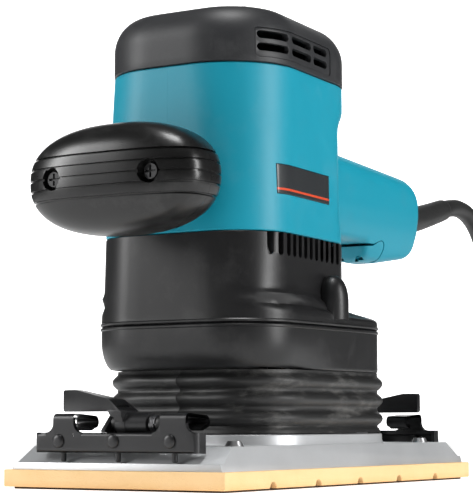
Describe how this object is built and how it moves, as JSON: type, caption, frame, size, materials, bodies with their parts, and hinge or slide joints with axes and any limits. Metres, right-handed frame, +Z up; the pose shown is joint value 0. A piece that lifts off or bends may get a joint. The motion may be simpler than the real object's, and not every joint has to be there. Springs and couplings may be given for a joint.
{
  "type": "orbital sander",
  "caption": "Mains half-sheet orbital sander with teal housing, black front grip, trigger handle, lever paper clamps and a felt pad.",
  "frame": {"origin": "middle of the sanding face, on the surface that the tool stands on", "axes": "+Z up, +Y towards the rear handle and the lead, -Y towards the front grip, +X to the right seen from behind the handle"},
  "size_m": [0.181, 0.5051, 0.216],
  "materials": {
    "teal_plastic": "satin",
    "grey_plastic": "textured",
    "black_plastic": "textured",
    "grip_black": "satin",
    "bellows_rubber": "matte",
    "black_rubber": "matte",
    "cast_plate": "cast",
    "pad_foam": "matte",
    "facing_dark": "matte",
    "black_steel": "satin",
    "bright_steel": "satin",
    "dark_steel": "satin",
    "core_iron": "matte",
    "copper_wire": "enamelled",
    "brass": "satin",
    "carbon": "matte",
    "fan_nylon": "matte",
    "badge": "gloss"
  },
  "bodies": {
    "tool_body": {"housing_right": "teal_plastic", "housing_left": "teal_plastic", "housing_screws": "dark_steel", "top_cover": "grey_plastic", "vent_panel_right": "grey_plastic", "vent_panel_left": "grey_plastic", "cover_screws": "dark_steel", "badge_plate": "badge", "fan_housing": "black_plastic", "skirt_ring": "black_plastic", "ring_screws": "dark_steel", "bearing_plate": "cast_plate", "bellows": "bellows_rubber", "support_legs": "black_rubber", "leg_screws": "bright_steel", "grip_front_shell": "grip_black", "grip_rear_shell": "grip_black", "grip_screws": "bright_steel", "stator_core": "core_iron", "field_windings": "copper_wire", "upper_bearing": "bright_steel", "lower_bearing": "bright_steel", "brush_holders": "brass", "carbon_brushes": "carbon", "switch_body": "black_plastic", "trigger_pin": "bright_steel", "cord_guard": "black_rubber", "cord_clamp": "black_plastic", "clamp_screws": "bright_steel", "power_cord": "black_rubber", "cord_coil": "black_rubber", "cord_tie": "black_plastic", "plug_body": "black_rubber", "plug_pins": "bright_steel"},
    "rotor": {"motor_shaft": "bright_steel", "armature_core": "core_iron", "armature_windings": "copper_wire", "commutator": "brass", "cooling_fan": "fan_nylon", "counterweight": "core_iron"},
    "pad_assembly": {"base_plate": "cast_plate", "eccentric_bearing": "bright_steel", "bearing_retainer": "dark_steel", "sanding_pad": "pad_foam", "pad_facing": "facing_dark", "plate_screws": "bright_steel", "front_pivot_pin": "dark_steel", "rear_pivot_pin": "dark_steel", "front_lever_spring": "bright_steel", "rear_lever_spring": "bright_steel"},
    "lever_front": {"front_lever": "black_steel"},
    "lever_rear": {"rear_lever": "black_steel"},
    "bar_front": {"front_clamp_bar": "black_steel", "front_bar_rivets": "black_steel"},
    "bar_rear": {"rear_clamp_bar": "black_steel", "rear_bar_rivets": "black_steel"},
    "trigger_paddle": {"trigger": "teal_plastic"},
    "lock_on": {"lock_button": "black_plastic"}
  },
  "joints": [
    {"name": "shaft_spin", "type": "hinge", "parent": "tool_body", "child": "rotor", "pos_m": [0, -0.022, 0.06], "axis": [0, 0, 1], "continuous": true},
    {"name": "pad_orbit", "type": "hinge", "parent": "rotor", "child": "pad_assembly", "pos_m": [0, -0.0245, 0.03], "axis": [0, 0, 1], "continuous": true},
    {"name": "front_lever_turn", "type": "hinge", "parent": "pad_assembly", "child": "lever_front", "pos_m": [0.006, -0.104, 0.0282], "axis": [1, 0, 0], "range_deg": [0, 40], "stiffness_Nm_per_rad": 0.3, "springref_deg": -14.32},
    {"name": "rear_lever_turn", "type": "hinge", "parent": "pad_assembly", "child": "lever_rear", "pos_m": [-0.006, 0.104, 0.0282], "axis": [-1, 0, 0], "range_deg": [0, 40], "stiffness_Nm_per_rad": 0.3, "springref_deg": -14.32},
    {"name": "front_bar_tilt", "type": "hinge", "parent": "pad_assembly", "child": "bar_front", "pos_m": [0, -0.104, 0.0282], "axis": [-1, 0, 0], "range_deg": [0, 8]},
    {"name": "rear_bar_tilt", "type": "hinge", "parent": "pad_assembly", "child": "bar_rear", "pos_m": [0, 0.104, 0.0282], "axis": [1, 0, 0], "range_deg": [0, 8]},
    {"name": "trigger_squeeze", "type": "hinge", "parent": "tool_body", "child": "trigger_paddle", "pos_m": [0, 0.103, 0.117], "axis": [-1, 0, 0], "range_deg": [0, 4.5], "stiffness_Nm_per_rad": 2, "springref_deg": -5.73},
    {"name": "lock_press", "type": "slide", "parent": "tool_body", "child": "lock_on", "axis": [1, 0, 0], "range_m": [0, 0.0025], "stiffness_N_per_m": 1500, "springref_m": -0.001}
  ],
  "couplings": [
    {"joint": "pad_orbit", "follows": "shaft_spin", "ratio": -1},
    {"joint": "front_bar_tilt", "follows": "front_lever_turn", "ratio": 0.2},
    {"joint": "rear_bar_tilt", "follows": "rear_lever_turn", "ratio": 0.2}
  ]
}
